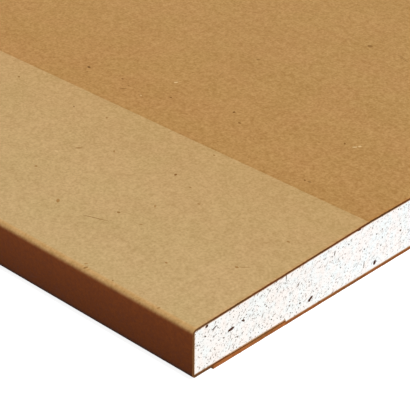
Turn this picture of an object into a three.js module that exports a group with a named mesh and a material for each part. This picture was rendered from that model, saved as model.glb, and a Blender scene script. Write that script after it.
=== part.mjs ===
// A sheet of tapered-edge gypsum drywall, 8 ft by 4 ft by 1/2 in, lying flat with its face up.
//
// Units are millimetres. +X runs along the sheet, +Y across it and +Z up through its thickness.
// The origin is the middle of the underside.
//
// The sheet has three pieces, and each has one section that runs the whole length:
//   gypsum_core  the cast core, thinner along both long edges, with its ends sawn bare
//   face_paper   one paper over the face, folded down both long edges and turned in under the back
//   back_paper   the paper over the back, glued over the two turned-in flaps but short of the edges
// The flaps are bedded in the core, so the back paper lies flat from one of its edges to the other.

import * as THREE from "three";

// ---- Driving dimensions ----

const SHEET_LENGTH = 2438.4; // 8 ft, between the sawn ends
const SHEET_WIDTH = 1219.2; // 4 ft, over the two papered edges
const SHEET_THICKNESS = 12.7; // 1/2 in over both papers, between the tapers

const FACE_PAPER_THICKNESS = 0.5;
const BACK_PAPER_THICKNESS = 0.6;

const TAPER_WIDTH = 50; // from the long edge to the line where the taper begins
const TAPER_DEPTH = 1.6; // how far the taper has fallen by the long edge

const CORE_FACE_RADIUS = 1.1; // the core's long arrises, under the fold at the face
const CORE_BACK_RADIUS = 0.4; // and under the fold at the back

const FLAP_WIDTH = 25.4; // the turned-in face paper, from the long edge to its cut edge
const BACK_PAPER_MARGIN = 5.5; // from the long edge to the back paper's cut edge

const FOLD_STEPS = 8; // straight facets round each fold

// ---- Where the surfaces lie ----

const HALF_WIDTH = SHEET_WIDTH / 2;
const FLAP_UNDERSIDE = BACK_PAPER_THICKNESS;
const FLAP_END = HALF_WIDTH - FLAP_WIDTH;
const TAPER_LINE = HALF_WIDTH - TAPER_WIDTH;
const TAPER_ANGLE = Math.atan2(TAPER_DEPTH, TAPER_WIDTH);

// The paper follows the core round each fold, so the outside of a fold is one paper larger.
const FACE_FOLD_RADIUS = CORE_FACE_RADIUS + FACE_PAPER_THICKNESS;
const BACK_FOLD_RADIUS = CORE_BACK_RADIUS + FACE_PAPER_THICKNESS;

// Height of the sloping face at a distance across the sheet, on the side of positive Y.
const taperHeight = (y) => SHEET_THICKNESS - (y - TAPER_LINE) * Math.tan(TAPER_ANGLE);

const BACK_FOLD_CENTRE = new THREE.Vector2(
  HALF_WIDTH - BACK_FOLD_RADIUS,
  FLAP_UNDERSIDE + BACK_FOLD_RADIUS,
);
const FACE_FOLD_CENTRE = new THREE.Vector2(
  HALF_WIDTH - FACE_FOLD_RADIUS,
  taperHeight(HALF_WIDTH - FACE_FOLD_RADIUS) - FACE_FOLD_RADIUS / Math.cos(TAPER_ANGLE),
);

// ---- The section, as points (across the sheet, up) ----

const foldArc = (centre, radius, from, to) =>
  new THREE.EllipseCurve(centre.x, centre.y, radius, radius, from, to).getPoints(FOLD_STEPS);

// The line that lies a given depth under the outer surface of the face paper, on the side of
// positive Y: along the flap from its cut edge, round both folds and up the taper.
function halfSkinLine(depth) {
  return [
    new THREE.Vector2(FLAP_END, FLAP_UNDERSIDE + depth),
    ...foldArc(BACK_FOLD_CENTRE, BACK_FOLD_RADIUS - depth, -Math.PI / 2, 0),
    ...foldArc(FACE_FOLD_CENTRE, FACE_FOLD_RADIUS - depth, 0, Math.PI / 2 - TAPER_ANGLE),
    new THREE.Vector2(TAPER_LINE - depth * Math.tan(TAPER_ANGLE / 2), SHEET_THICKNESS - depth),
  ];
}

const mirrored = (points) => points.map((p) => new THREE.Vector2(-p.x, p.y)).reverse();

// The same line from one flap's cut edge over the face to the other's.
function skinLine(depth) {
  const half = halfSkinLine(depth);
  return [...half, ...mirrored(half)];
}

const outerSkin = skinLine(0);
const coreSkin = skinLine(FACE_PAPER_THICKNESS);

const facePaperSection = [...outerSkin, ...coreSkin.toReversed()];

// Between the flaps the core comes down to the back paper.
const coreSection = [
  ...coreSkin,
  new THREE.Vector2(-FLAP_END, FLAP_UNDERSIDE),
  new THREE.Vector2(FLAP_END, FLAP_UNDERSIDE),
];

const backPaperHalfWidth = HALF_WIDTH - BACK_PAPER_MARGIN;
const backPaperSection = [
  new THREE.Vector2(-backPaperHalfWidth, 0),
  new THREE.Vector2(backPaperHalfWidth, 0),
  new THREE.Vector2(backPaperHalfWidth, BACK_PAPER_THICKNESS),
  new THREE.Vector2(-backPaperHalfWidth, BACK_PAPER_THICKNESS),
];

// ---- Materials ----

const paper = (color) => new THREE.MeshStandardMaterial({ color, roughness: 0.85, metalness: 0 });

const facePaper = paper(0xb98c56);
const backPaper = paper(0xa8713f);
const gypsum = new THREE.MeshStandardMaterial({ color: 0xf4f1ea, roughness: 0.95, metalness: 0 });

// ---- Pieces ----

// A section's own X, Y and depth are the sheet's Y, Z and X.
const SECTION_TO_SHEET = new THREE.Matrix4().makeBasis(
  new THREE.Vector3(0, 1, 0),
  new THREE.Vector3(0, 0, 1),
  new THREE.Vector3(1, 0, 0),
);

// One piece: its section run along the sheet from sawn end to sawn end.
function fullLengthPiece(name, section, material) {
  const geometry = new THREE.ExtrudeGeometry(new THREE.Shape(section), {
    depth: SHEET_LENGTH,
    bevelEnabled: false,
  });
  geometry.applyMatrix4(SECTION_TO_SHEET);
  const mesh = new THREE.Mesh(geometry, material);
  mesh.name = name;
  mesh.position.x = -SHEET_LENGTH / 2;
  return mesh;
}

const drywallSheet = new THREE.Group();
drywallSheet.add(
  fullLengthPiece("gypsum_core", coreSection, gypsum),
  fullLengthPiece("face_paper", facePaperSection, facePaper),
  fullLengthPiece("back_paper", backPaperSection, backPaper),
);

export default drywallSheet;
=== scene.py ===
# The looks of a sheet of tapered-edge drywall that lies flat with its face up: one kraft paper
# folded round the face and both long edges, another over the back, and a cast gypsum core that
# both ends show where they were sawn.
#
# Lengths are written in millimetres, and MM turns them to Blender's metres. +X runs along the
# sheet, +Y across it and +Z up. A point of the section is written (across, up).

import math
import random

import bmesh
import bpy
from mathutils import Matrix, Vector
from mathutils.geometry import delaunay_2d_cdt


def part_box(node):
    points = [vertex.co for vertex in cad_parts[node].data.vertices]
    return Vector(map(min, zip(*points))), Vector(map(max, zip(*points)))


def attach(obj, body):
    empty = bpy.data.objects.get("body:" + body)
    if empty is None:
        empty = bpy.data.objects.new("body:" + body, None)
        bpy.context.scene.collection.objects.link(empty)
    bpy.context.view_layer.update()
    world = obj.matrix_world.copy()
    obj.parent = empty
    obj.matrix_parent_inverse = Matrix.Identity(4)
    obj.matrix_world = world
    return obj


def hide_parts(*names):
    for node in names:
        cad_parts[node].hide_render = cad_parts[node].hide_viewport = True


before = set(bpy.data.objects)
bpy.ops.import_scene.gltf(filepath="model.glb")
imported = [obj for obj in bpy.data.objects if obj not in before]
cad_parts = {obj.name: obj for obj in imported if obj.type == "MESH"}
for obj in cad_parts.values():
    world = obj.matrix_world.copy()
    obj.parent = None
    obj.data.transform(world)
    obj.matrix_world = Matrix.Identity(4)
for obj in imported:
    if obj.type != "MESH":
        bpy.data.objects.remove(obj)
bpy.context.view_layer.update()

MM = 0.001

# ---- Sizes that the frame gives ----

HALF_LENGTH, HALF_WIDTH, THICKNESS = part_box("face_paper")[1] / MM
_, CORE_HALF_WIDTH, CORE_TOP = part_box("gypsum_core")[1] / MM
_, BACK_PAPER_HALF_WIDTH, BACK_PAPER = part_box("back_paper")[1] / MM
FACE_PAPER = THICKNESS - CORE_TOP  # the face paper's own thickness

# ---- Sizes that repeat the frame's own section ----

TAPER_WIDTH = 50.0  # from the long edge to the line where the taper begins
BACK_FOLD_RADIUS = 0.9  # outside the paper
FLAP_WIDTH = 25.4  # the turned-in face paper, from the long edge to its cut edge

# The taper and the fold at the face depart from the frame's: one is 0.05 mm shallower, the other
# 0.5 mm tighter.
TAPER_DEPTH = 1.55
FACE_FOLD_RADIUS = 1.1  # outside the paper

TAPER_LINE = HALF_WIDTH - TAPER_WIDTH
TAPER_ANGLE = math.atan2(TAPER_DEPTH, TAPER_WIDTH)
EDGE_HIGH = THICKNESS - TAPER_DEPTH  # the height that a long edge folds down from
FLAP_START = HALF_WIDTH - FLAP_WIDTH
FLAP_TOP = BACK_PAPER + FACE_PAPER

FOLD_STEPS = 14  # straight facets round each fold
SHARP_ANGLE = 35  # degrees, past which an edge isn't shaded smooth
WELD = 0.001  # points nearer than this are one
SECTION_WELD = 1e-6  # and within a section, those nearer than this

# ---- The cuts ----

PLIES = 3  # layers of pulp that the sawn paper shows
PAPER_GRAIN = 0.8  # spacing of the points that fray along a sawn paper edge
CORE_RECESS = 0.12  # the core crumbles back a little further than the paper
END_STEPS = (4.5, 1.1, 0.4)  # the last steps before a sawn end, so that it frays by itself

VOID_SEEDS = (3, 8)  # one for each end
VOID_TRIES_PER_MM2 = 0.66  # two in three of them find room
VOID_SPACING = 0.62  # between the middles of two voids, and from a middle to the paper
VOID_RADII = (0.09, 0.28)
VOID_RARITY = 2.5  # the higher, the fewer voids are large
VOID_SQUATNESS = (0.55, 1.0)  # width as a share of length
VOID_DEPTHS = (0.8, 1.4)  # as a share of the radius
VOID_SIDES = 6

# ---- Scraps in the papers and the core ----

BARE_CORNER = 150.0  # the near corner's own scraps are listed one by one, this far both ways
LONG_RARITY = 3.0  # the higher, the fewer scraps are long
FIBRE_POINTS = 7  # along each fibre
FIBRE_SIDES = 3
FIBRE_WAVE = 3.0  # from bend to bend
SETTLED = 0.03  # how far a listed scrap has sunk into the core


# ---- Adding nodes and objects ----


def linear(colour):
    """An sRGB hex colour as the linear RGBA that a shader takes."""
    channels = [int(colour[i : i + 2], 16) / 255 for i in (1, 3, 5)]
    lit = [c / 12.92 if c <= 0.04045 else ((c + 0.055) / 1.055) ** 2.4 for c in channels]
    return (*lit, 1.0)


def in_use(sockets, key):
    """A socket that the node's settings leave in use, by its name or its place."""
    live = [socket for socket in sockets if socket.enabled]
    if isinstance(key, int):
        return live[key]
    return next(socket for socket in live if socket.name == key)


def is_source(value):
    """Whether a value is a node, or a (node, output) pair, to link from."""
    return isinstance(value[0] if isinstance(value, tuple) else value, bpy.types.Node)


def add(tree, kind, inputs=None, **settings):
    """Adds a node with its settings, then sets its inputs. A node, or a (node, output) pair, is
    linked, and a hex string is a colour."""
    made = tree.nodes.new(kind)
    for name, value in settings.items():
        setattr(made, name, value)
    for key, given in (inputs or {}).items():
        socket = in_use(made.inputs, key)
        if is_source(given):
            source, output = given if isinstance(given, tuple) else (given, 0)
            tree.links.new(in_use(source.outputs, output), socket)
        elif isinstance(given, str) and given.startswith("#"):
            socket.default_value = linear(given)
        else:
            socket.default_value = given
    return made


def emptied(owner):
    """The node tree of a material or a world, with nothing in it."""
    owner.use_nodes = True
    owner.node_tree.nodes.clear()
    return owner.node_tree


def in_scene(name, data):
    """An object in the scene, for a mesh, a lamp or a camera."""
    made = bpy.data.objects.new(name, data)
    bpy.context.scene.collection.objects.link(made)
    return made


# ---- What the finishes are put together from ----


def new_finish(name):
    """A material with its tree, and the place on the piece in millimetres."""
    material = bpy.data.materials.new(name)
    tree = emptied(material)
    place = add(tree, "ShaderNodeTexCoord")
    where = add(
        tree,
        "ShaderNodeVectorMath",
        {0: (place, "Object"), 1: (1 / MM, 1 / MM, 1 / MM)},
        operation="MULTIPLY",
    )
    return material, tree, where


def mottle(tree, where, size, detail=1.5, stretch=(1, 1, 1), low=0.34, high=0.66):
    """Blotches of a size in millimetres, from 0 to 1. They cover half of a surface, and less of it
    as low and high rise together. With low above high, what they cover is turned round."""
    pulled = add(tree, "ShaderNodeMapping", {"Vector": where, "Scale": stretch})
    cloud = add(
        tree, "ShaderNodeTexNoise", {"Vector": pulled, "Scale": 1 / size, "Detail": detail}
    )
    return add(tree, "ShaderNodeMapRange", {"Value": cloud, "From Min": low, "From Max": high})


def weighted(tree, *parts):
    """The sum of some patterns, each given as (pattern, weight)."""
    total = 0.0
    for pattern, weight in parts:
        total = add(
            tree, "ShaderNodeMath", {0: pattern, 1: weight, 2: total}, operation="MULTIPLY_ADD"
        )
    return total


def laid(tree, ground, *coats):
    """A ground colour with coats over it, each given as (how much of it shows, its colour)."""
    for shows, colour in coats:
        ground = add(
            tree, "ShaderNodeMix", {"Factor": shows, "A": ground, "B": colour}, data_type="RGBA"
        )
    return ground


def across_and_up(tree, where):
    """How far off the middle of the sheet a place is, and how far above the floor."""
    axes = add(tree, "ShaderNodeSeparateXYZ", {0: where})
    off_middle = add(tree, "ShaderNodeMath", {0: (axes, "Y")}, operation="ABSOLUTE")
    return off_middle, (axes, "Z")


def off_line(tree, off_middle, line):
    """How far a place is from a line along the sheet, to either side of it."""
    past = add(tree, "ShaderNodeMath", {0: off_middle, 1: line}, operation="SUBTRACT")
    return add(tree, "ShaderNodeMath", {0: past}, operation="ABSOLUTE")


def close_finish(material, tree, colour, relief, depth, **shader_inputs):
    """Closes a finish with its shader, over a relief of a depth in millimetres. An input of the
    shader is given by its name, with _ for each space."""
    bump = add(tree, "ShaderNodeBump", {"Height": relief, "Distance": depth * MM, "Strength": 1.0})
    shader = add(
        tree,
        "ShaderNodeBsdfPrincipled",
        {
            "Base Color": colour,
            "Normal": bump,
            **{name.replace("_", " "): value for name, value in shader_inputs.items()},
        },
    )
    add(tree, "ShaderNodeOutputMaterial", {"Surface": shader})
    return material


# ---- Kraft paper ----

# Cellulose has an IOR of 1.47 and gypsum one of 1.52. Both surfaces are so open that they scatter
# nearly all the light and look matt from any side, so their specular level is low.
CELLULOSE = {"IOR": 1.47, "Specular_IOR_Level": 0.15}
CHALKY = {"IOR": 1.52, "Specular_IOR_Level": 0.1, "Roughness": 0.95}

BAND_LINE = TAPER_LINE + 0.82  # where the rolls that press a taper begin to mark the face, with a paler band that is in part painted sheen
BAND_BLUR = 0.1  # either way
# the crease's line and reach, along which the tone is darkened as painted shade
CREASE_LINE = BAND_LINE - 0.3
CREASE_REACH = 0.5  # either way
DEEPER_REACH = 45.0  # how far from the band the field is a shade deeper
BRUISE_REACH = 0.9  # how far in from a sawn end
BRUISE_SHOWS = 0.14  # as a share of the colour at the end itself

# Each of these is where a coat starts to show and where it is full.
# the fold's coat, warmer and brightened as a painted highlight where the fold turns from the lamp
FOLD_HIGHLIGHT = (1.35, 0.75)  # in from the long edge
# the long edge's deeper red-brown, in part painted shade
RAW_AND_SHADED = (-0.1, 1.18)  # past the fold's middle, as the way gone across and down together
# the dark under the fold near the floor, a painted shade
UNDER_FOLD_SHADE = (1.4, 0.5)  # up from the back paper
SOAKED = (0.2, 0.6)  # through the paper, as a share of its thickness
PASTED = (0.18, 0.32)  # down from the flap's top

PASTE_BLUR = 0.3  # in from both ends of the lap
GREY_BLUR = 0.6  # past the back paper's cut edge
GREY_SHOWS = 0.38  # as a share of the colour round the folds


def kraft_tone(tree, where):
    """The pulp of a kraft paper, mostly from 0 to 1: fibres, the flocs they gather in, the
    machine's streaks, dark and pale flecks, and the slow drift of a web that is metres wide. A
    real fibre is about 0.03 mm thick, too fine to show, so the fibres are drawn as knots of
    0.56 mm."""
    fibres = mottle(tree, where, 0.56, detail=2.0)
    dark_flecks = mottle(tree, where, 0.5, detail=1.0, low=0.68, high=0.76)
    pale_flecks = mottle(tree, where, 0.45, detail=1.0, low=0.32, high=0.25)
    flocs = mottle(tree, where, 1.6)
    clouds = mottle(tree, where, 14)
    streaks = mottle(tree, where, 6, stretch=(0.04, 1, 1))
    drift = mottle(tree, where, 110, stretch=(0.3, 1, 1))
    return weighted(
        tree,
        (fibres, 0.55),
        (dark_flecks, -0.55),
        (pale_flecks, 0.35),
        (flocs, 0.25),
        (clouds, 0.07),
        (streaks, 0.07),
        (drift, 0.05),
    )


def band_crease_shade(tree, off_middle):
    """The fine crease where the taper's band starts, darkened along its line as painted shade."""
    off_crease = off_line(tree, off_middle, CREASE_LINE)
    return add(
        tree,
        "ShaderNodeMapRange",
        {"Value": off_crease, "From Min": CREASE_REACH, "From Max": 0.0},
    )


def pressed_face(tree, where, tone, off_middle):
    """The face's colours: the field, a shade deeper beside the paler band that the rolls leave,
    whose paleness is in part a painted sheen, and a faint wandering hue over both."""
    field_start = laid(tree, "#9e7036", (tone, "#c5985f"))
    field_inner = laid(tree, "#a0743b", (tone, "#c79d65"))
    # the band's paler tones, palest at the long edge, are in part painted sheen
    sheen_band_start = laid(tree, "#af8b56", (tone, "#cea975"))
    sheen_band_end = laid(tree, "#b39462", (tone, "#d2b381"))
    into_field = add(
        tree,
        "ShaderNodeMapRange",
        {"Value": off_middle, "From Min": BAND_LINE, "From Max": BAND_LINE - DEEPER_REACH},
    )
    down_band = add(
        tree,
        "ShaderNodeMapRange",
        {"Value": off_middle, "From Min": BAND_LINE, "From Max": HALF_WIDTH},
    )
    on_band = add(
        tree,
        "ShaderNodeMapRange",
        {
            "Value": off_middle,
            "From Min": BAND_LINE - BAND_BLUR,
            "From Max": BAND_LINE + BAND_BLUR,
        },
    )
    hue = laid(tree, "#98943c", (mottle(tree, where, 9), "#d08866"))
    field = laid(tree, field_start, (into_field, field_inner))
    band = laid(tree, sheen_band_start, (down_band, sheen_band_end))
    return laid(tree, field, (on_band, band), (0.04, hue))


def raw_and_shaded_edge(tree, tone, off_middle, up):
    """The long edges' colours: a raw red-brown that is in part painted shade, darker towards the
    back as painted shade, and darker still where the paper turns under, also a painted shade."""
    # deeper and redder than the face: in part the paper's raw colour, in part painted shade
    high = laid(tree, "#884114", (tone, "#ac5c2c"))
    low = laid(tree, "#612c0d", (tone, "#7c401a"))
    # darker down the edge towards the floor: painted shade
    shade_down_edge = add(
        tree, "ShaderNodeMapRange", {"Value": up, "From Min": EDGE_HIGH, "From Max": 0.0}
    )
    # near-black where the paper turns under by the floor: painted shade
    near_floor = add(
        tree,
        "ShaderNodeMapRange",
        {
            "Value": up,
            "From Min": BACK_PAPER + UNDER_FOLD_SHADE[0],
            "From Max": BACK_PAPER + UNDER_FOLD_SHADE[1],
        },
    )
    outside = add(
        tree,
        "ShaderNodeMapRange",
        {
            "Value": off_middle,
            "From Min": HALF_WIDTH - 2 * BACK_FOLD_RADIUS,
            "From Max": HALF_WIDTH - BACK_FOLD_RADIUS,
        },
    )
    under_fold_shade = add(tree, "ShaderNodeMath", {0: near_floor, 1: outside}, operation="MULTIPLY")
    return laid(tree, high, (shade_down_edge, low), (under_fold_shade, "#35201a"))


def round_the_fold(tree, off_middle, up):
    """Where the fold at the face is warmer and brightened as a painted highlight, and where the
    long edge's red-brown, in part painted shade, takes over.
    """
    on_fold = add(
        tree,
        "ShaderNodeMapRange",
        {
            "Value": off_middle,
            "From Min": HALF_WIDTH - FOLD_HIGHLIGHT[0],
            "From Max": HALF_WIDTH - FOLD_HIGHLIGHT[1],
        },
    )
    round_fold = add(tree, "ShaderNodeMath", {0: off_middle, 1: up}, operation="SUBTRACT")
    fold_middle = HALF_WIDTH - EDGE_HIGH
    on_edge = add(
        tree,
        "ShaderNodeMapRange",
        {"Value": round_fold, "From Min": fold_middle + RAW_AND_SHADED[0], "From Max": fold_middle + RAW_AND_SHADED[1]},
        interpolation_type="SMOOTHSTEP",
    )
    return on_fold, on_edge


def face_kraft():
    """Kraft liner of recycled pulp, calendered: matt brown with flocs of fibre. Its folds are
    warmer and brightened as a painted highlight, and below them the long edges are a raw red-brown
    that is in part painted shade. The saw has bruised the ends a little redder."""
    material, tree, where = new_finish("calendered kraft liner")
    off_middle, up = across_and_up(tree, where)
    axes = add(tree, "ShaderNodeSeparateXYZ", {0: where})
    along = add(tree, "ShaderNodeMath", {0: (axes, "X")}, operation="ABSOLUTE")
    crease = band_crease_shade(tree, off_middle)
    # the crease darkens the tone as painted shade, and dents the relief
    tone = weighted(tree, (kraft_tone(tree, where), 1.0), (crease, -0.14))
    bruised = add(
        tree,
        "ShaderNodeMapRange",
        {
            "Value": along,
            "From Min": HALF_LENGTH - BRUISE_REACH,
            "From Max": HALF_LENGTH,
            "To Max": BRUISE_SHOWS,
        },
    )
    # warmer than the face, and lighter as a painted highlight against the fold's falling light
    fold_highlight = laid(tree, "#b68b50", (tone, "#d7ab73"))
    on_fold, on_edge = round_the_fold(tree, off_middle, up)
    colour = laid(
        tree,
        pressed_face(tree, where, tone, off_middle),
        (bruised, "#e07a28"),
        (on_fold, fold_highlight),
        (on_edge, raw_and_shaded_edge(tree, tone, off_middle, up)),
    )
    # 0.65 rough at a tone of 0, and 0.94 at 1
    roughness = add(tree, "ShaderNodeMapRange", {"Value": tone, "From Min": -2.2, "From Max": 1.2})
    return close_finish(material, tree, colour, tone, 0.02, Roughness=roughness, **CELLULOSE)


def back_kraft():
    """Plain kraft liner, uncalendered: a little redder, rougher and cloudier than the face."""
    material, tree, where = new_finish("uncalendered kraft liner")
    tone = kraft_tone(tree, where)
    colour = laid(tree, "#8d572a", (tone, "#c08a58"))
    # 0.75 rough at a tone of 0, and 1 at 1
    roughness = add(tree, "ShaderNodeMapRange", {"Value": tone, "From Min": -3.0, "From Max": 1.0})
    return close_finish(material, tree, colour, tone, 0.035, Roughness=roughness, **CELLULOSE)


def paste(tree, off_middle, up):
    """Where the face paper's flap and the back paper are pasted together."""
    low = add(
        tree,
        "ShaderNodeMapRange",
        {"Value": up, "From Min": FLAP_TOP - PASTED[0], "From Max": FLAP_TOP - PASTED[1]},
    )
    lap_middle = (BACK_PAPER_HALF_WIDTH + FLAP_START) / 2
    half_lap = (BACK_PAPER_HALF_WIDTH - FLAP_START) / 2
    under = add(
        tree,
        "ShaderNodeMapRange",
        {
            "Value": off_line(tree, off_middle, lap_middle),
            "From Min": half_lap,
            "From Max": half_lap - PASTE_BLUR,
        },
    )
    return add(tree, "ShaderNodeMath", {0: low, 1: under}, operation="MULTIPLY")


def sawn_kraft(name, outer_tones, soaked_tones):
    """The paper's cut edge: torn plies of raw pulp, dark where the plies next to the core have
    drawn in its slurry, orange where the two papers are pasted together, and greyed round the
    folds, where no second paper covers it. Each pair of tones is a darkest and a lightest."""
    material, tree, where = new_finish(name)
    torn = mottle(tree, where, 0.35, detail=2.5)
    runs = mottle(tree, where, 0.3, stretch=(1, 0.25, 1))
    patches = mottle(tree, where, 7)
    tone = weighted(tree, (torn, 0.35), (runs, 0.35), (patches, 0.3))
    off_middle, up = across_and_up(tree, where)
    ply = add(tree, "ShaderNodeAttribute", attribute_name="depth")
    soaked = add(
        tree,
        "ShaderNodeMapRange",
        {"Value": (ply, "Fac"), "From Min": SOAKED[0], "From Max": SOAKED[1]},
    )
    greyed = add(
        tree,
        "ShaderNodeMapRange",
        {
            "Value": off_middle,
            "From Min": BACK_PAPER_HALF_WIDTH,
            "From Max": BACK_PAPER_HALF_WIDTH + GREY_BLUR,
            "To Max": GREY_SHOWS,
        },
    )
    hue = laid(tree, "#3c3a10", (mottle(tree, where, 12, low=0.4, high=0.6), "#a04816"))
    pasted_tones = ("#864a20", "#b87640")
    outer, inner, pasted = (
        laid(tree, dark, (tone, light)) for dark, light in (outer_tones, soaked_tones, pasted_tones)
    )
    colour = laid(
        tree,
        outer,
        (soaked, inner),
        (paste(tree, off_middle, up), pasted),
        (0.14, hue),
        (greyed, "#6a5230"),
    )
    return close_finish(material, tree, colour, tone, 0.08, Roughness=0.95, **CELLULOSE)


# ---- Gypsum and scraps ----

HARD = (45.0, 20.0)  # in from the long edge, where the core starts to be hard and where it is
HARD_SHOWS = 0.18  # as a share of the colour where it is
SOFT_VOIDS = 0.66  # how plainly the voids' painted shade shows where it is soft, against 1 where it is hard
BOND_DEPTH = 0.35  # how far into the core the starch of the bond tans it
GLUE_DEPTH = 0.26  # and how far in it is brown with glue
STEP_BLUR = 0.01  # how wide the core's step is at a flap's cut edge
DRAG_LEAN = -48.0  # degrees from upright, along the saw's strokes
DRAG_STRETCH = 2.2  # how many times longer they draw a void


def depth_into_core(tree, off_middle, up):
    """How far a point of the core is from the paper over it, under it or beside it."""
    fallen = add(tree, "ShaderNodeMath", {0: off_middle, 1: TAPER_LINE}, operation="SUBTRACT")
    slope = add(tree, "ShaderNodeMath", {0: fallen, 1: 0.0}, operation="MAXIMUM")
    roof = add(
        tree,
        "ShaderNodeMath",
        {0: slope, 1: -TAPER_DEPTH / TAPER_WIDTH, 2: CORE_TOP},
        operation="MULTIPLY_ADD",
    )
    floor = add(
        tree,
        "ShaderNodeMapRange",
        {
            "Value": off_middle,
            "From Min": FLAP_START,
            "From Max": FLAP_START + STEP_BLUR,
            "To Min": BACK_PAPER,
            "To Max": FLAP_TOP,
        },
    )
    nearest = add(
        tree, "ShaderNodeMath", {0: HALF_WIDTH - FACE_PAPER, 1: off_middle}, operation="SUBTRACT"
    )
    for high, low in ((roof, up), (up, floor)):
        gap = add(tree, "ShaderNodeMath", {0: high, 1: low}, operation="SUBTRACT")
        nearest = add(tree, "ShaderNodeMath", {0: nearest, 1: gap}, operation="MINIMUM")
    return nearest


def pinpricks(tree, where):
    """The foam's finer voids, the round ones and those that the saw has drawn out, whose darkness
    is painted shade. Real ones go down to 0.05 mm, too fine to show, so these are drawn at 0.3 mm
    and up."""
    dragged = add(
        tree,
        "ShaderNodeMapping",
        {
            "Vector": where,
            "Rotation": (math.radians(DRAG_LEAN), 0, 0),
            "Scale": (1, 1, DRAG_STRETCH),
        },
        vector_type="TEXTURE",
    )
    sparse = {"detail": 1.0, "low": 0.62, "high": 0.74}
    round_ones = mottle(tree, where, 0.37, **sparse)
    drawn_out = mottle(tree, dragged, 0.32, **sparse)
    return round_ones, drawn_out


def sawn_gypsum():
    """Foamed gypsum, cast and sawn: chalk white and matt, with the foam's finer voids as brown and
    grey pinpricks of painted shade that are plainer near the hard long edges, and the bowls of its
    larger voids darkened with painted shade. Starch that has gone to the papers tans a thin bond
    next to them."""
    material, tree, where = new_finish("sawn gypsum")
    off_middle, up = across_and_up(tree, where)
    crushed = mottle(tree, where, 0.32, detail=2.5)
    damp = mottle(tree, where, 2.4)
    pricks, drags = pinpricks(tree, where)
    near_edge = {
        "Value": off_middle,
        "From Min": HALF_WIDTH - HARD[0],
        "From Max": HALF_WIDTH - HARD[1],
    }
    open_foam = add(tree, "ShaderNodeMapRange", {**near_edge, "To Min": SOFT_VOIDS})
    hard = add(tree, "ShaderNodeMapRange", {**near_edge, "To Max": HARD_SHOWS})
    depth = depth_into_core(tree, off_middle, up)
    bond, glue = (
        add(tree, "ShaderNodeMapRange", {"Value": depth, "From Min": reach, "From Max": 0.0})
        for reach in (BOND_DEPTH, GLUE_DEPTH)
    )
    hue = laid(tree, "#fbeae4", (mottle(tree, where, 2.0), "#e8f4f9"))
    # the finer voids' brown and grey pinpricks: painted shade
    voids = add(
        tree,
        "ShaderNodeMath",
        {0: weighted(tree, (pricks, 0.8), (drags, 0.8)), 1: open_foam},
        operation="MULTIPLY",
    )
    # the bowls of the larger voids darken towards their floors: painted shade
    bowl = add(tree, "ShaderNodeAttribute", attribute_name="void")
    pit_shade = add(
        tree, "ShaderNodeMapRange", {"Value": (bowl, "Fac"), "From Min": 0.0, "From Max": 0.6}
    )
    colour = laid(
        tree,
        "#fafaf6",
        (weighted(tree, (crushed, 0.5), (damp, 0.5)), "#fefefc"),
        (0.4, hue),
        (hard, "#f4e9da"),
        (bond, "#e6c092"),
        (glue, "#8a5424"),
        (voids, "#6a5136"),
        (pit_shade, "#50381f"),
    )
    relief = weighted(tree, (crushed, 0.5), (pricks, -0.8), (drags, -0.8))
    return close_finish(material, tree, colour, relief, 0.05, **CHALKY)


def scrap_finish(name, *tones):
    """Scraps in the pulp or the core, each with its own shade from the first tone to the last:
    bark, wood and old print, all matt."""
    material, tree, where = new_finish(name)
    shade = add(tree, "ShaderNodeAttribute", attribute_name="shade")
    step = 1 / (len(tones) - 1)
    coats = []
    for i, tone in enumerate(tones[1:]):
        reached = add(
            tree,
            "ShaderNodeMapRange",
            {"Value": (shade, "Fac"), "From Min": i * step, "From Max": (i + 1) * step},
        )
        coats.append((reached, tone))
    grain = mottle(tree, where, 0.25)
    worn = weighted(tree, (grain, 0.2))
    colour = laid(tree, tones[0], *coats, (worn, "#a47646"))
    return close_finish(material, tree, colour, grain, 0.01, Roughness=0.8, **CELLULOSE)


FACE_KRAFT = face_kraft()
BACK_KRAFT = back_kraft()
SAWN_FACE_KRAFT = sawn_kraft("sawn face liner", ("#522c0a", "#7e4c1b"), ("#371c08", "#643a16"))
SAWN_BACK_KRAFT = sawn_kraft("sawn back liner", ("#74401a", "#a66634"), ("#6a3b18", "#985b2a"))
GYPSUM = sawn_gypsum()
PULP_SCRAPS = scrap_finish("shives in pulp", "#502e08", "#7a4f18", "#96703c", "#aa8049", "#e3c48f")
TORN_PULP = scrap_finish("torn pulp", "#3f2610", "#8a5828", "#b98a55")
CORE_SCRAPS = scrap_finish("slivers in gypsum", "#300f0c", "#40302a", "#6a645c")

# ---- The section ----


def taper_height(across):
    """Height of the sloping face, on the side of +Y."""
    return THICKNESS - (across - TAPER_LINE) * math.tan(TAPER_ANGLE)


def fold(centre, radius, start, end):
    """Points round a fold, from one angle to another."""
    angles = [start + (end - start) * i / FOLD_STEPS for i in range(FOLD_STEPS + 1)]
    return [(centre[0] + radius * math.cos(a), centre[1] + radius * math.sin(a)) for a in angles]


def half_skin(depth):
    """The line a depth under the face paper's outside, on the side of +Y: along the flap from its
    cut edge, round both folds and up the taper."""
    back_centre = (HALF_WIDTH - BACK_FOLD_RADIUS, BACK_PAPER + BACK_FOLD_RADIUS)
    face_across = HALF_WIDTH - FACE_FOLD_RADIUS
    face_centre = (
        face_across,
        taper_height(face_across) - FACE_FOLD_RADIUS / math.cos(TAPER_ANGLE),
    )
    return [
        (FLAP_START, BACK_PAPER + depth),
        *fold(back_centre, BACK_FOLD_RADIUS - depth, -math.pi / 2, 0),
        *fold(face_centre, FACE_FOLD_RADIUS - depth, 0, math.pi / 2 - TAPER_ANGLE),
        (TAPER_LINE - depth * math.tan(TAPER_ANGLE / 2), THICKNESS - depth),
    ]


def skin(depth):
    """The same line from one flap's cut edge over the face to the other's."""
    half = half_skin(depth)
    return half + [(-across, up) for across, up in reversed(half)]


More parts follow.
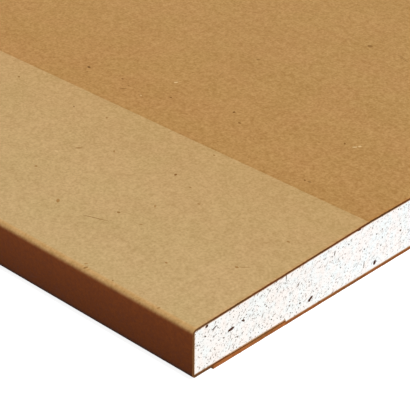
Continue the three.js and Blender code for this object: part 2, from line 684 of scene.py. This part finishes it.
def part_way(first, second, share):
    """The point a share of the way from the first to the second."""
    return tuple(a + (b - a) * share for a, b in zip(first, second))


def spaced(line, step, guide):
    """A line with points added so that none of the guide's steps is longer than step."""
    points = [line[0]]
    for first, second, *ends in zip(line, line[1:], guide, guide[1:]):
        count = math.ceil(math.dist(*ends) / step)
        points += [part_way(first, second, (i + 1) / count) for i in range(count)]
    return points


def flat_mesh(points, faces):
    """A mesh of points in millimetres."""
    made = bpy.data.meshes.new("flat")
    made.from_pydata([Vector(point) * MM for point in points], [], faces)
    return made


def marked(mesh, attribute, values):
    """The mesh, with a number on each of its points for its finish to read."""
    mesh.attributes.new(attribute, "FLOAT", "POINT")
    mesh.attributes[attribute].data.foreach_set("value", values)
    return mesh


def paper_section(outside, inside):
    """A paper's section at the middle of the sheet, as strips of ply that face along +X."""
    outer = spaced(outside, PAPER_GRAIN, outside)
    inner = spaced(inside, PAPER_GRAIN, outside)
    lines = [
        [part_way(a, b, ply / PLIES) for a, b in zip(outer, inner)] for ply in range(PLIES + 1)
    ]
    row = len(outer)
    faces = [
        (ply * row + i, ply * row + i + 1, (ply + 1) * row + i + 1, (ply + 1) * row + i)
        for ply in range(PLIES)
        for i in range(row - 1)
    ]
    made = flat_mesh([(0, *point) for line in lines for point in line], faces)
    return marked(made, "depth", [ply / PLIES for ply in range(PLIES + 1) for _ in outer])


def core_room(across):
    """The lowest and highest points of the core, this far across the sheet."""
    off_middle = abs(across)
    floor = FLAP_TOP if off_middle > FLAP_START else BACK_PAPER
    return floor, min(taper_height(off_middle), THICKNESS) - FACE_PAPER


def void_middles(chance):
    """Where the saw opened the foam's voids, none too near another or the papers. A cell of the
    grid is too small to hold two, and only voids in the cells within two of its own can crowd
    a new one."""
    cell = VOID_SPACING / math.sqrt(2)
    reach = range(-2, 3)
    found = {}
    for _ in range(int(VOID_TRIES_PER_MM2 * 2 * HALF_WIDTH * THICKNESS)):
        across = chance.uniform(VOID_SPACING - CORE_HALF_WIDTH, CORE_HALF_WIDTH - VOID_SPACING)
        low, high = core_room(across)
        middle = (across, chance.uniform(low + VOID_SPACING, high - VOID_SPACING))
        column, row = (int(place // cell) for place in middle)
        near = [found.get((column + i, row + j), (math.inf, 0)) for i in reach for j in reach]
        if all(math.dist(middle, other) > VOID_SPACING for other in near):
            found[column, row] = middle
    return list(found.values())


def void_rim(middle, radius, squatness, turn):
    """Points round a void."""
    rim = []
    for side in range(VOID_SIDES):
        angle = side * math.tau / VOID_SIDES
        long, short = radius * math.cos(angle), radius * squatness * math.sin(angle)
        rim.append(
            (
                middle[0] + long * math.cos(turn) - short * math.sin(turn),
                middle[1] + long * math.sin(turn) + short * math.cos(turn),
            )
        )
    return rim


def sawn_core_section(seed):
    """The core's section, facing +X, with each void a small bowl whose rim and middle are
    points of the face."""
    chance = random.Random(seed)
    outline = skin(FACE_PAPER) + [(-FLAP_START, BACK_PAPER), (FLAP_START, BACK_PAPER)]
    edges = [(i, (i + 1) % len(outline)) for i in range(len(outline))]
    points, depths = list(outline), [0.0] * len(outline)
    smallest, largest = VOID_RADII
    for middle in void_middles(chance):
        radius = smallest + (largest - smallest) * chance.random() ** VOID_RARITY
        squatness, turn = chance.uniform(*VOID_SQUATNESS), chance.uniform(0, math.pi)
        points += [middle, *void_rim(middle, radius, squatness, turn)]
        depths += [radius * chance.uniform(*VOID_DEPTHS)] + [0.0] * VOID_SIDES
    inside = 1  # keeps only the faces within the outline
    flat = [Vector(point) for point in points]
    places, _, faces, sources, _, _ = delaunay_2d_cdt(flat, edges, [], inside, SECTION_WELD)
    sunk = [max(depths[i] for i in source) for source in sources]
    made = flat_mesh([(-depth, *at) for depth, at in zip(sunk, places)], faces)
    # how deep each point is sunk, read back for the painted shade in the bowls
    return marked(made, "void", [min(depth / largest, 1.0) for depth in sunk])


# ---- Geometry trees ----


def geometry_tree(name, sockets):
    """A tree that takes a mesh and the named inputs."""
    tree = bpy.data.node_groups.new(name, "GeometryNodeTree")
    tree.is_modifier = True
    tree.interface.new_socket("Mesh", in_out="OUTPUT", socket_type="NodeSocketGeometry")
    tree.interface.new_socket("Mesh", in_out="INPUT", socket_type="NodeSocketGeometry")
    for label, kind in sockets.items():
        tree.interface.new_socket(label, in_out="INPUT", socket_type="NodeSocket" + kind)
    return tree, add(tree, "NodeGroupInput")


def close_tree(tree, geometry, *finishes):
    """Closes a tree: no instance is left, and each finish is set by the inputs given for it."""
    done = add(tree, "GeometryNodeRealizeInstances", {"Geometry": geometry})
    for finish in finishes:
        done = add(tree, "GeometryNodeSetMaterial", {"Geometry": done, **finish})
    add(tree, "NodeGroupOutput", {"Mesh": done})
    return tree


def either_way(tree, noise):
    """A noise's three channels, each as a number that goes either way from 0."""
    return add(
        tree,
        "ShaderNodeVectorMath",
        {0: (noise, "Color"), 1: (0.5, 0.5, 0.5)},
        operation="SUBTRACT",
    )


def pushed_out(tree, given):
    """The section pushed out to the sawn end in one long step and a few short ones, and the cut
    that it ends in."""
    long_run = add(
        tree,
        "ShaderNodeMath",
        {0: (given, "Reach"), 1: sum(END_STEPS) * MM},
        operation="SUBTRACT",
    )
    swept, moving = (given, "Mesh"), True
    for step in (long_run, *(step * MM for step in END_STEPS)):
        swept = add(
            tree,
            "GeometryNodeExtrudeMesh",
            {
                "Mesh": swept,
                "Selection": moving,
                "Offset": add(tree, "ShaderNodeCombineXYZ", {"X": step}),
                "Individual": False,
            },
        )
        moving = (swept, "Top")
    return swept, moving


def torn_by_saw(tree, given):
    """How the saw shifts each point of a cut: back, and either way across and up."""
    grain = add(tree, "ShaderNodeMath", {0: 1.0, 1: (given, "Grain")}, operation="DIVIDE")
    chance = add(
        tree,
        "ShaderNodeTexNoise",
        {
            "Vector": add(tree, "GeometryNodeInputPosition"),
            "W": (given, "Seed"),
            "Scale": grain,
            "Detail": 2.0,
        },
        noise_dimensions="4D",
    )
    torn = add(tree, "ShaderNodeMath", {0: (given, "Fray"), 1: chance}, operation="MULTIPLY")
    inwards = add(tree, "ShaderNodeMath", {0: torn, 1: -1.0}, operation="MULTIPLY")
    back = add(tree, "ShaderNodeCombineXYZ", {"X": inwards})
    lift = add(tree, "ShaderNodeCombineXYZ", {"Y": (given, "Lift"), "Z": (given, "Lift")})
    return add(
        tree,
        "ShaderNodeVectorMath",
        {0: either_way(tree, chance), 1: lift, 2: back},
        operation="MULTIPLY_ADD",
    )


def sweep_tree():
    """Pushes a section out from the middle of the sheet to a sawn end, where the saw frays it."""
    tree, given = geometry_tree(
        "Sweep to a sawn end",
        {
            "Reach": "Float",
            "Fray": "Float",
            "Lift": "Float",
            "Grain": "Float",
            "Seed": "Float",
            "Skin": "Material",
            "Cut": "Material",
        },
    )
    swept, cut = pushed_out(tree, given)
    frayed = add(
        tree,
        "GeometryNodeSetPosition",
        {"Geometry": swept, "Selection": cut, "Offset": torn_by_saw(tree, given)},
    )
    skin_all_over = {"Material": (given, "Skin")}
    cut_at_end = {"Selection": cut, "Material": (given, "Cut")}
    return close_tree(tree, frayed, skin_all_over, cut_at_end)


SCATTER_INPUTS = {"Density": "Float", "Seed": "Int", "Shortest": "Float", "Longest": "Float"}


def scattered(tree, given):
    """Loose points on a surface, each with a length, a turn about the surface's own upright and
    a shade that its scrap keeps. Each choice has its own seed, so that none follows another."""
    spread = add(
        tree,
        "GeometryNodeDistributePointsOnFaces",
        {"Mesh": (given, "Mesh"), "Density": (given, "Density"), "Seed": (given, "Seed")},
    )
    shade = add(tree, "FunctionNodeRandomValue", {"Seed": 1})
    shaded = add(
        tree,
        "GeometryNodeStoreNamedAttribute",
        {"Geometry": spread, "Name": "shade", "Value": shade},
    )
    luck = add(tree, "FunctionNodeRandomValue", {"Seed": 2})
    short = add(tree, "ShaderNodeMath", {0: luck, 1: LONG_RARITY}, operation="POWER")
    long = add(
        tree,
        "ShaderNodeMapRange",
        {"Value": short, "To Min": (given, "Shortest"), "To Max": (given, "Longest")},
    )
    angle = add(tree, "FunctionNodeRandomValue", {"Max": math.tau, "Seed": 3})
    turn = add(tree, "FunctionNodeAxisAngleToRotation", {"Axis": (0, 0, 1), "Angle": angle})
    turned = add(
        tree,
        "FunctionNodeRotateRotation",
        {"Rotation": (spread, "Rotation"), "Rotate By": turn},
        rotation_space="LOCAL",
    )
    return shaded, long, turned


def scrap_tree():
    """Presses flat scraps into a surface."""
    tree, given = geometry_tree(
        "Press scraps in",
        {**SCATTER_INPUTS, "Slimmest": "Float", "High": "Float", "Finish": "Material"},
    )
    points, long, turned = scattered(tree, given)
    slim = add(tree, "FunctionNodeRandomValue", {"Min": (given, "Slimmest"), "Seed": 4})
    wide = add(tree, "ShaderNodeMath", {0: long, 1: slim}, operation="MULTIPLY")
    size = add(tree, "ShaderNodeCombineXYZ", {"X": long, "Y": wide, "Z": (given, "High")})
    scrap = add(tree, "GeometryNodeMeshIcoSphere", {"Radius": 0.5, "Subdivisions": 1})
    placed = add(
        tree,
        "GeometryNodeInstanceOnPoints",
        {"Points": points, "Instance": scrap, "Rotation": turned, "Scale": size},
    )
    return close_tree(tree, placed, {"Material": (given, "Finish")})


def fibre_tree():
    """Lays curled fibres on a surface."""
    tree, given = geometry_tree(
        "Lay fibres",
        {**SCATTER_INPUTS, "Thick": "Float", "Curl": "Float", "Finish": "Material"},
    )
    points, long, turned = scattered(tree, given)
    line = add(
        tree, "GeometryNodeCurvePrimitiveLine", {"Start": (-0.5, 0, 0), "End": (0.5, 0, 0)}
    )
    straight = add(tree, "GeometryNodeResampleCurve", {"Curve": line, "Count": FIBRE_POINTS})
    placed = add(
        tree,
        "GeometryNodeInstanceOnPoints",
        {"Points": points, "Instance": straight, "Rotation": turned, "Scale": long},
    )
    # The lines are made real before they are bent, so that each bends its own way.
    real = add(tree, "GeometryNodeRealizeInstances", {"Geometry": placed})
    wander = add(
        tree,
        "ShaderNodeTexNoise",
        {
            "Vector": add(tree, "GeometryNodeInputPosition"),
            "Scale": 1 / (FIBRE_WAVE * MM),
            "Detail": 0.0,
        },
    )
    curl = add(tree, "ShaderNodeCombineXYZ", {"X": (given, "Curl"), "Y": (given, "Curl")})
    bent = add(
        tree, "ShaderNodeVectorMath", {0: either_way(tree, wander), 1: curl}, operation="MULTIPLY"
    )
    curled = add(tree, "GeometryNodeSetPosition", {"Geometry": real, "Offset": bent})
    even = add(tree, "GeometryNodeSetCurveRadius", {"Curve": curled, "Radius": 1.0})
    radius = add(tree, "ShaderNodeMath", {0: (given, "Thick"), 1: 0.5}, operation="MULTIPLY")
    ring = add(
        tree, "GeometryNodeCurvePrimitiveCircle", {"Resolution": FIBRE_SIDES, "Radius": radius}
    )
    tube = add(
        tree, "GeometryNodeCurveToMesh", {"Curve": even, "Profile Curve": ring, "Fill Caps": True}
    )
    return close_tree(tree, tube, {"Material": (given, "Finish")})


SWEEP = sweep_tree()
PRESS_SCRAPS = scrap_tree()
LAY_FIBRES = fibre_tree()


def grown(host, tree, inputs):
    """Runs a geometry tree on a mesh, and returns the plain mesh that comes out."""
    carrier = in_scene("carrier", host)
    run = carrier.modifiers.new(tree.name, "NODES")
    run.node_group = tree
    for socket in tree.interface.items_tree:
        if socket.in_out == "INPUT" and socket.name in inputs:
            run[socket.identifier] = inputs[socket.name]
    settled = carrier.evaluated_get(bpy.context.evaluated_depsgraph_get())
    made = bpy.data.meshes.new_from_object(settled)
    bpy.data.objects.remove(carrier)
    return made


# ---- The papers and the core ----

PAPER_CUT = {
    "Reach": HALF_LENGTH * MM,
    "Fray": 0.16 * MM,  # how far the saw has torn it back at most
    "Lift": 0.06 * MM,  # how far it wanders across and up, all told
    "Grain": 1.1 * MM,  # how coarse the tears are
}
CORE_CUT = {
    "Reach": (HALF_LENGTH - CORE_RECESS) * MM,
    "Fray": 0.06 * MM,
    "Lift": 0.0,
    "Grain": 1.6 * MM,
}


def joined(meshes):
    """Some meshes as one, welded where they meet. They share one list of materials."""
    welded = bmesh.new()
    for mesh in meshes:
        welded.from_mesh(mesh)
    bmesh.ops.remove_doubles(welded, verts=welded.verts, dist=WELD * MM)
    made = bpy.data.meshes.new("joined")
    welded.to_mesh(made)
    welded.free()
    for material in meshes[0].materials:
        made.materials.append(material)
    return made


def swept_both_ways(sections, inputs):
    """A section pushed to each sawn end. The half turn brings the second one to the far end."""
    near, far = (
        grown(section, SWEEP, {**inputs, "Seed": float(seed)})
        for seed, section in enumerate(sections)
    )
    far.transform(Matrix.Rotation(math.pi, 4, "Z"))
    return joined([near, far])


def piece(name, mesh, slot, *stands_for):
    """Makes a mesh a piece of the sheet, and hides the frame's nodes that it stands for."""
    mesh.name = name
    mesh.shade_smooth()
    mesh.set_sharp_from_angle(angle=math.radians(SHARP_ANGLE))
    made = in_scene(name, mesh)
    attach(made, "root")
    if stands_for:
        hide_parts(*stands_for)


def liner_face():
    """The paper over the face, round the long edges and in under the back as two flaps."""
    section = paper_section(skin(0), skin(FACE_PAPER))
    finishes = {"Skin": FACE_KRAFT, "Cut": SAWN_FACE_KRAFT}
    mesh = swept_both_ways([section, section], {**PAPER_CUT, **finishes})
    piece("liner_face", mesh, "face_kraft", "face_paper")


def liner_back():
    """The paper over the back and both flaps."""
    outside, inside = (
        [(-BACK_PAPER_HALF_WIDTH, up), (BACK_PAPER_HALF_WIDTH, up)] for up in (0, BACK_PAPER)
    )
    section = paper_section(outside, inside)
    finishes = {"Skin": BACK_KRAFT, "Cut": SAWN_BACK_KRAFT}
    mesh = swept_both_ways([section, section], {**PAPER_CUT, **finishes})
    piece("liner_back", mesh, "back_kraft", "back_paper")


def core_cast():
    """The core, with the foam's larger voids open at both ends."""
    sections = [sawn_core_section(seed) for seed in VOID_SEEDS]
    mesh = swept_both_ways(sections, {**CORE_CUT, "Skin": GYPSUM, "Cut": GYPSUM})
    piece("core_cast", mesh, "gypsum", "gypsum_core")


# ---- Scraps that are scattered ----

SHIVES = {
    "Shortest": 0.25 * MM,
    "Longest": 1.3 * MM,
    "Slimmest": 0.3,  # width as a share of length
    "High": 0.05 * MM,
    "Finish": PULP_SCRAPS,
}
FIBRES = {
    "Shortest": 1.0 * MM,
    "Longest": 5.0 * MM,
    "Thick": 0.06 * MM,  # twice a real fibre's, which is too fine to show
    "Curl": 1.6 * MM,  # how wide its bends are, all told
    "Finish": PULP_SCRAPS,
}
SLIVERS = {
    "Shortest": 0.3 * MM,
    "Longest": 2.0 * MM,
    "Slimmest": 0.2,
    "High": 0.16 * MM,
    "Finish": CORE_SCRAPS,
}
TAGS = {
    "Shortest": 0.25 * MM,
    "Longest": 1.1 * MM,
    "Slimmest": 0.2,
    "High": 0.16 * MM,
    "Finish": TORN_PULP,
}

# How many there are to the square metre of their panels.
FACE_SHIVES = 2000.0
BACK_SHIVES = 1500.0
FACE_FIBRES = 450.0
END_SLIVERS = 2.0e4
END_TAGS = 3.0e5

# The slivers keep this far off the floor, the core's long edges and the sheet's face.
SLIVERS_OFF_FLOOR = 1.6
SLIVERS_OFF_EDGE = 1.5
SLIVERS_OFF_TOP = 1.0

# The tags lie in two strips of the core, each from its first depth to its second.
FACE_TAGS = (0.25, 0.05)  # down from the face paper
BACK_TAGS = (0.0, 0.15)  # up from the back paper


def panels(rectangles):
    """A mesh of flat panels, each the four corners of a rectangle."""
    points = [corner for rectangle in rectangles for corner in rectangle]
    return flat_mesh(points, [tuple(range(i, i + 4)) for i in range(0, len(points), 4)])


def face_panels():
    """The flat face and both tapers, without the near corner."""
    inner = HALF_LENGTH - BARE_CORNER
    half = HALF_WIDTH - FACE_FOLD_RADIUS
    lines = [-half, -TAPER_LINE, TAPER_LINE, half]
    made = []
    for low, high in zip(lines, lines[1:]):
        for start, end in ((-HALF_LENGTH, inner), (inner, HALF_LENGTH)):
            near = max(low, BARE_CORNER - HALF_WIDTH) if start == inner else low
            if near < high:
                up, far_up = (min(taper_height(abs(y)), THICKNESS) for y in (near, high))
                made.append(
                    [(start, near, up), (end, near, up), (end, high, far_up), (start, high, far_up)]
                )
    return panels(made)


def end_panels(strips, near_start):
    """Strips across both ends of the core, each (first, last, bottom, top). On the near corner's
    end they only begin at near_start."""
    made = []
    for side in (1, -1):
        x = side * (HALF_LENGTH - CORE_RECESS)
        for first, last, bottom, top in strips:
            start = max(first, near_start) if side == 1 else first
            if start < last:
                left, right = (start, last) if side == 1 else (last, start)
                made.append(
                    [(x, left, bottom), (x, right, bottom), (x, right, top), (x, left, top)]
                )
    return panels(made)


def scraps_in_face():
    """Shives and fibres in the pulp of the face."""
    host = face_panels()
    shives = grown(host, PRESS_SCRAPS, {**SHIVES, "Density": FACE_SHIVES, "Seed": 4})
    piece("shives_face", shives, "face_kraft")
    fibres = grown(host, LAY_FIBRES, {**FIBRES, "Density": FACE_FIBRES, "Seed": 5})
    piece("fibres_face", fibres, "face_kraft")


def scraps_in_ends():
    """Slivers in the sawn core, and tags of paper that the saw has torn over it."""
    low = SLIVERS_OFF_FLOOR
    high, high_at_edge = (top - SLIVERS_OFF_TOP for top in (THICKNESS, EDGE_HIGH))
    edge = CORE_HALF_WIDTH - SLIVERS_OFF_EDGE
    slivers_over = [
        (-edge, -TAPER_LINE, low, high_at_edge),
        (-TAPER_LINE, TAPER_LINE, low, high),
        (TAPER_LINE, edge, low, high_at_edge),
    ]
    host = end_panels(slivers_over, BARE_CORNER - HALF_WIDTH)
    slivers = grown(host, PRESS_SCRAPS, {**SLIVERS, "Density": END_SLIVERS, "Seed": 6})
    piece("slivers_ends", slivers, "gypsum")
    tags_along = [
        (-TAPER_LINE, TAPER_LINE, CORE_TOP - FACE_TAGS[0], CORE_TOP - FACE_TAGS[1]),
        (-FLAP_START, FLAP_START, BACK_PAPER + BACK_TAGS[0], BACK_PAPER + BACK_TAGS[1]),
    ]
    host = end_panels(tags_along, -HALF_WIDTH)
    tags = grown(host, PRESS_SCRAPS, {**TAGS, "Density": END_TAGS, "Seed": 7})
    piece("torn_tags", tags, "face_kraft")


def scraps_in_back():
    """Shives in the pulp of the back."""
    x, y = HALF_LENGTH, BACK_PAPER_HALF_WIDTH
    host = panels([[(-x, -y, 0), (-x, y, 0), (x, y, 0), (x, -y, 0)]])
    shives = grown(host, PRESS_SCRAPS, {**SHIVES, "Density": BACK_SHIVES, "Seed": 8})
    piece("shives_back", shives, "back_kraft")


# ---- Scraps that are listed one by one, by the near corner ----

# Each is (from the sawn end, from the long edge, long, wide, turned by degrees, shade).
FACE_MARKS = [
    # specks of bark and old print
    (89.3, 57.8, 1.1, 0.8, 20, 0.1),
    (88.0, 56.0, 0.5, 0.4, 0, 0.4),
    (40.3, 36.5, 1.0, 0.65, 60, 0.3),
    (79.4, 59.0, 0.8, 0.6, 0, 0.25),
    (77.4, 42.3, 0.55, 0.4, 0, 0.15),
    (76.0, 57.6, 0.5, 0.4, 0, 0.4),
    (68.3, 43.6, 0.8, 0.55, 40, 0.6),
    (50.8, 112.7, 1.65, 1.4, 10, 0.42),
    (50.3, 64.8, 0.9, 0.75, 70, 0.2),
    (46.0, 61.9, 0.95, 0.65, 0, 0.3),
    (38.3, 18.5, 0.9, 0.7, 0, 0.48),
    (65.1, 60.1, 0.7, 0.6, 0, 0.2),
    (64.5, 88.4, 1.15, 0.95, 0, 0.5),
    (97.1, 43.4, 0.95, 0.65, 30, 0.5),
    (63.9, 19.4, 0.85, 0.65, 0, 0.6),
    (34.6, 34.9, 0.75, 0.5, 0, 0.6),
    # long fibres
    (62.9, 30.6, 2.0, 0.55, -45, 0.48),
    (39.2, 14.3, 8.8, 0.2, -20, 0.4),
    (40.5, 112.5, 4.2, 0.2, 16, 0.35),
    (42.0, 113.3, 4.0, 0.2, 10, 0.4),
    (75.7, 55.7, 1.9, 0.4, -43, 0.38),
    (6.7, 21.4, 3.2, 0.2, -43, 0.55),
    # faint shives
    (50.4, 13.4, 1.8, 0.85, 47, 0.68),
    (8.1, 20.1, 0.95, 0.68, 0, 0.66),
    (23.9, 70.7, 0.9, 0.5, 47, 0.3),
    (18.5, 53.0, 1.0, 0.75, 0, 0.5),
    (19.6, 52.8, 0.9, 0.5, 47, 0.35),
    (6.8, 33.2, 0.85, 0.56, 0, 0.65),
    (31.9, 18.4, 0.75, 0.42, -43, 0.58),
    (18.8, 12.2, 0.75, 0.55, 0, 0.64),
    (40.0, 47.6, 0.75, 0.5, 20, 0.6),
    (56.5, 34.6, 1.0, 0.45, 47, 0.62),
    (34.7, 25.0, 1.0, 0.4, 47, 0.67),
    (28.9, 31.5, 0.8, 0.5, 0, 0.62),
    # flakes of paler pulp
    (65.4, 26.4, 1.1, 0.8, 0, 0.94),
    (70.5, 56.1, 0.8, 0.45, 0, 0.9),
    (69.6, 66.3, 1.2, 0.55, -70, 1.0),
    (21.4, 71.0, 1.3, 0.6, -50, 0.94),
    (20.85, 72.0, 0.95, 0.55, -70, 0.97),
    # scuffs on the fold
    (29.6, 1.75, 0.9, 0.42, -50, 0.75),
    (28.7, 0.86, 1.1, 0.55, -50, 0.58),
    (21.85, 1.3, 0.5, 0.36, 0, 0.5),
    (9.5, 0.92, 0.72, 0.38, -50, 0.68),
]

# Each is (above the floor, from the long edge, long, wide, turned by degrees, shade).
END_MARKS = [
    # slivers of bark
    (6.53, 10.15, 2.1, 0.75, 5, 0.0),
    (10.3, 3.7, 0.95, 0.66, 30, 0.0),
    (9.0, 5.7, 1.6, 0.27, 22, 0.55),
    (6.85, 13.42, 0.95, 0.52, -25, 0.05),
    (2.74, 32.68, 1.2, 0.75, 28, 0.0),
    (2.38, 32.22, 0.9, 0.9, 94, 0.0),
    (2.0, 52.15, 1.3, 0.95, 72, 0.0),
    # grit
    (3.05, 29.4, 0.62, 0.45, 0, 0.6),
    (6.05, 60.0, 0.65, 0.5, 0, 0.85),
    (10.05, 43.4, 0.46, 0.35, 0, 0.85),
    (7.55, 19.3, 0.42, 0.3, 0, 0.75),
    (8.3, 3.3, 0.48, 0.38, 0, 0.6),
    (7.2, 5.6, 0.45, 0.3, 30, 0.8),
    (4.1, 11.5, 0.3, 0.25, 0, 0.7),
    (5.6, 8.2, 0.38, 0.3, 0, 0.8),
    (3.25, 21.3, 0.42, 0.34, 0, 0.85),
    (2.45, 24.0, 0.35, 0.3, 0, 0.8),
    (6.7, 31.9, 0.35, 0.3, 0, 0.8),
    (6.7, 48.5, 0.45, 0.35, 0, 0.85),
    (5.3, 53.8, 0.4, 0.34, 0, 0.95),
    # hairs and nicks
    (9.9, 39.2, 1.3, 0.3, 80, 0.9),
    (7.5, 28.7, 1.0, 0.27, 60, 0.95),
    (10.7, 25.1, 1.5, 0.2, 88, 0.7),
    (9.0, 53.9, 0.36, 0.27, 60, 0.95),
    (8.6, 52.1, 0.42, 0.28, 80, 0.9),
    (7.0, 54.1, 0.5, 0.25, 90, 0.95),
    (3.1, 48.7, 1.7, 0.22, 90, 1.0),
]

# A tag of paper that the saw has torn down over the core, given as the marks on the end are.
TAG_MARKS = [(11.95, 46.45, 1.3, 0.42, -4, 0.0)]

# How thick these scraps are, through the surface.
FACE_MARK_HIGH = 0.05
END_MARK_HIGH = 0.2


def on_face(from_end, from_edge):
    """A place on the face, with the ways along, across and out. Close to the edge it follows the
    fold."""
    turned = math.asin(max(1 - from_edge / FACE_FOLD_RADIUS, 0))
    fallen = FACE_FOLD_RADIUS * (1 - math.cos(turned))
    flat = min(taper_height(HALF_WIDTH - max(from_edge, FACE_FOLD_RADIUS)), THICKNESS)
    place = Vector((HALF_LENGTH - from_end, from_edge - HALF_WIDTH, flat - fallen))
    across = Vector((0, math.cos(turned), math.sin(turned)))
    out = Vector((0, -math.sin(turned), math.cos(turned)))
    return place, Vector((-1, 0, 0)), across, out


def on_end(high, from_edge):
    """A place on the sawn core, with the ways across, up and out."""
    place = Vector((HALF_LENGTH - CORE_RECESS - SETTLED, from_edge - HALF_WIDTH, high))
    return place, Vector((0, 1, 0)), Vector((0, 0, 1)), Vector((1, 0, 0))


def placed_scraps(marks, spot, high, finish):
    """One mesh of the scraps that are listed one by one."""
    made = bmesh.new()
    shades = made.verts.layers.float.new("shade")
    for first, second, long, wide, turn, shade in marks:
        place, one_way, other_way, out = spot(first, second)
        angle = math.radians(turn)
        along = one_way * math.cos(angle) + other_way * math.sin(angle)
        axes = Matrix((along * long, out.cross(along) * wide, out * high)).transposed()
        shape = Matrix.Translation(place * MM) @ (axes * MM).to_4x4()
        scrap = bmesh.ops.create_icosphere(made, subdivisions=1, radius=0.5, matrix=shape)
        for vert in scrap["verts"]:
            vert[shades] = shade
    mesh = bpy.data.meshes.new("placed")
    made.to_mesh(mesh)
    made.free()
    mesh.materials.append(finish)
    return mesh


def scraps_near_corner():
    """What the face, the end and the saw have left by the near corner."""
    shives = placed_scraps(FACE_MARKS, on_face, FACE_MARK_HIGH, PULP_SCRAPS)
    piece("shives_near_corner", shives, "face_kraft")
    slivers = placed_scraps(END_MARKS, on_end, END_MARK_HIGH, CORE_SCRAPS)
    piece("slivers_near_corner", slivers, "gypsum")
    tags = placed_scraps(TAG_MARKS, on_end, END_MARK_HIGH, TORN_PULP)
    piece("tags_near_corner", tags, "face_kraft")


# ---- Floor, light and camera ----

FLOOR_SIZE = 80000.0
FLOOR_GLOW = 0.88  # what the camera sees it add to its own pale grey
SKY_LEVEL = 0.32  # how strongly the room lights the sheet, though the camera sees it pure white
KEY_LEVEL = 0.97  # 1 lights a white surface that faces the lamp to full white
KEY_HEIGHT = 45  # degrees above the floor
KEY_ROUND = 94  # degrees round from the front, towards the sawn end
KEY_SPREAD = 24  # degrees

SENSOR = 36.0  # across
LENS = 144.89  # a long lens, close to the near corner
NEAREST_SEEN = 10.0
PICTURE = 410  # pixels, both ways
NEAR_CORNER_PIXEL = (192.45, 382.33)  # right and down to the corner of the underside
NEAR_CORNER_DEPTH = 296.4  # how far in front of the camera that corner is
VIEW_ROUND = 43.34  # degrees, as the next two are
VIEW_DOWN = 30.37
VIEW_ROLL = 0.79


def seen_directly(tree):
    """1 for rays from the camera, or by way of gloss or glass."""
    ray = add(tree, "ShaderNodeLightPath")
    seen = (ray, "Is Camera Ray")
    for kind in ("Is Glossy Ray", "Is Transmission Ray"):
        seen = add(tree, "ShaderNodeMath", {0: seen, 1: (ray, kind)}, operation="MAXIMUM")
    return seen


def white_floor():
    """A pale floor that looks white and keeps the sheet's shadow."""
    material = bpy.data.materials.new("studio floor")
    tree = emptied(material)
    matt = add(tree, "ShaderNodeBsdfDiffuse", {"Color": "#acacac"})
    strength = weighted(tree, (seen_directly(tree), FLOOR_GLOW))
    glow = add(tree, "ShaderNodeEmission", {"Strength": strength})
    both = add(tree, "ShaderNodeAddShader", {0: matt, 1: glow})
    add(tree, "ShaderNodeOutputMaterial", {"Surface": both})

    half = FLOOR_SIZE / 2
    floor = panels([[(-half, -half, 0), (half, -half, 0), (half, half, 0), (-half, half, 0)]])
    floor.materials.append(material)
    in_scene("floor", floor)


def soft_light():
    """A wide soft key lamp over the sawn end, and an even pale room all round."""
    world = bpy.data.worlds.new("studio")
    bpy.context.scene.world = world
    tree = emptied(world)
    strength = add(
        tree, "ShaderNodeMapRange", {"Value": seen_directly(tree), "To Min": SKY_LEVEL}
    )
    room = add(tree, "ShaderNodeBackground", {"Color": (1, 1, 1, 1), "Strength": strength})
    add(tree, "ShaderNodeOutputWorld", {"Surface": room})

    key = bpy.data.lights.new("key", "SUN")
    key.energy = KEY_LEVEL * math.pi
    key.angle = math.radians(KEY_SPREAD)
    hung = in_scene("key", key)
    hung.rotation_euler = (math.radians(90 - KEY_HEIGHT), 0, math.radians(KEY_ROUND))


def corner_camera():
    """Looks down on the corner where a folded long edge meets a sawn end."""
    camera = bpy.data.cameras.new("camera")
    camera.sensor_width = SENSOR
    camera.lens = LENS
    camera.clip_start = NEAREST_SEEN * MM
    turned = (
        Matrix.Rotation(math.radians(VIEW_ROUND), 4, "Z")
        @ Matrix.Rotation(math.radians(90 - VIEW_DOWN), 4, "X")
        @ Matrix.Rotation(math.radians(VIEW_ROLL), 4, "Z")
    )
    pixel = NEAR_CORNER_DEPTH * SENSOR / LENS / PICTURE
    right, down = (place - PICTURE / 2 for place in NEAR_CORNER_PIXEL)
    seen = Vector((right * pixel, -down * pixel, -NEAR_CORNER_DEPTH))
    corner = Vector((HALF_LENGTH, -HALF_WIDTH, 0))
    stand = in_scene("camera", camera)
    stand.matrix_world = Matrix.Translation((corner - turned.to_3x3() @ seen) * MM) @ turned
    bpy.context.scene.camera = stand


liner_face()
liner_back()
core_cast()
scraps_in_face()
scraps_in_ends()
scraps_in_back()
scraps_near_corner()
white_floor()
soft_light()
corner_camera()
bpy.context.scene.view_settings.view_transform = "Standard"
